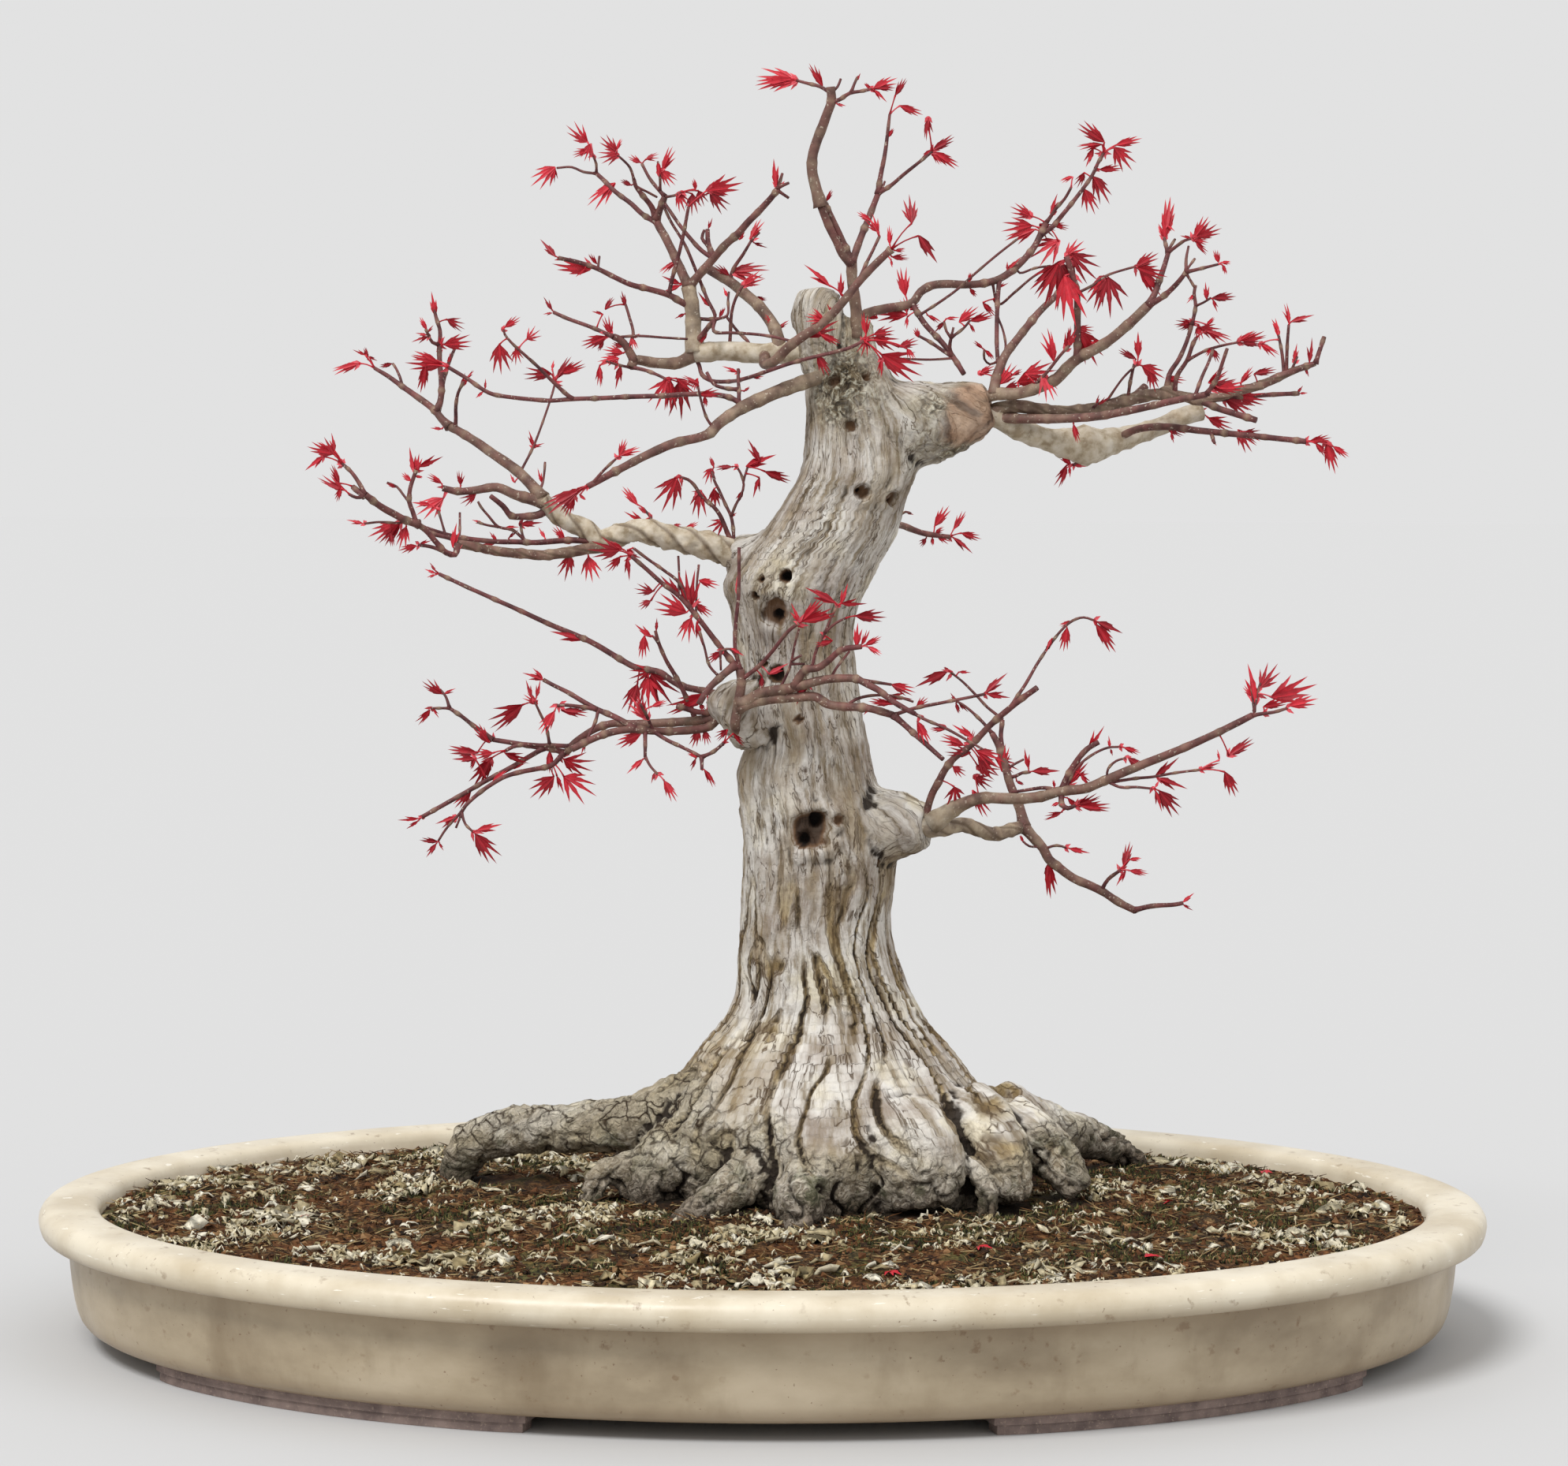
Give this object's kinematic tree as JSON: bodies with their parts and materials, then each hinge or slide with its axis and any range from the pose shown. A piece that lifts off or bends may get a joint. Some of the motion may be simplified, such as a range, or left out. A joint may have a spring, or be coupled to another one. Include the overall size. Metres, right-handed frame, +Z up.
{
  "type": "bonsai maple in an oval tray",
  "caption": "Bonsai maple with a flared, fluted trunk, wired branches and small red lobed leaves, growing from mounded soil in a glazed oval tray on strip feet.",
  "frame": {"origin": "on the ground under the middle of the tray", "axes": "+X to the right along the tray's length, +Y to the back, +Z up; the front of the tree faces -Y"},
  "size_m": [0.6, 0.43, 0.5248],
  "materials": {
    "glaze": "cream glaze, stained where it pools, bare clay on the feet",
    "drain_net": "matte",
    "soil": "loose soil with chopped pale moss, brown fibres and green moss",
    "bark": "pale ridged bark with brown grooves",
    "leafy_twigs": "red-brown twigs with young crimson leaves"
  },
  "bodies": {
    "root": {"pot": "glaze", "drain_mesh_left": "drain_net", "drain_mesh_right": "drain_net", "soil": "soil", "trunk": "bark", "branch_left_wired": "leafy_twigs", "branch_head_left": "leafy_twigs", "branch_crown_left": "leafy_twigs", "branch_apex": "leafy_twigs", "branch_crown_right": "leafy_twigs", "branch_right_upper": "leafy_twigs", "branch_right_wired": "leafy_twigs", "branch_front": "leafy_twigs", "branch_left_lower": "leafy_twigs", "branch_right_low": "leafy_twigs", "branch_back": "leafy_twigs", "branch_left_long": "leafy_twigs"}
  },
  "joints": []
}
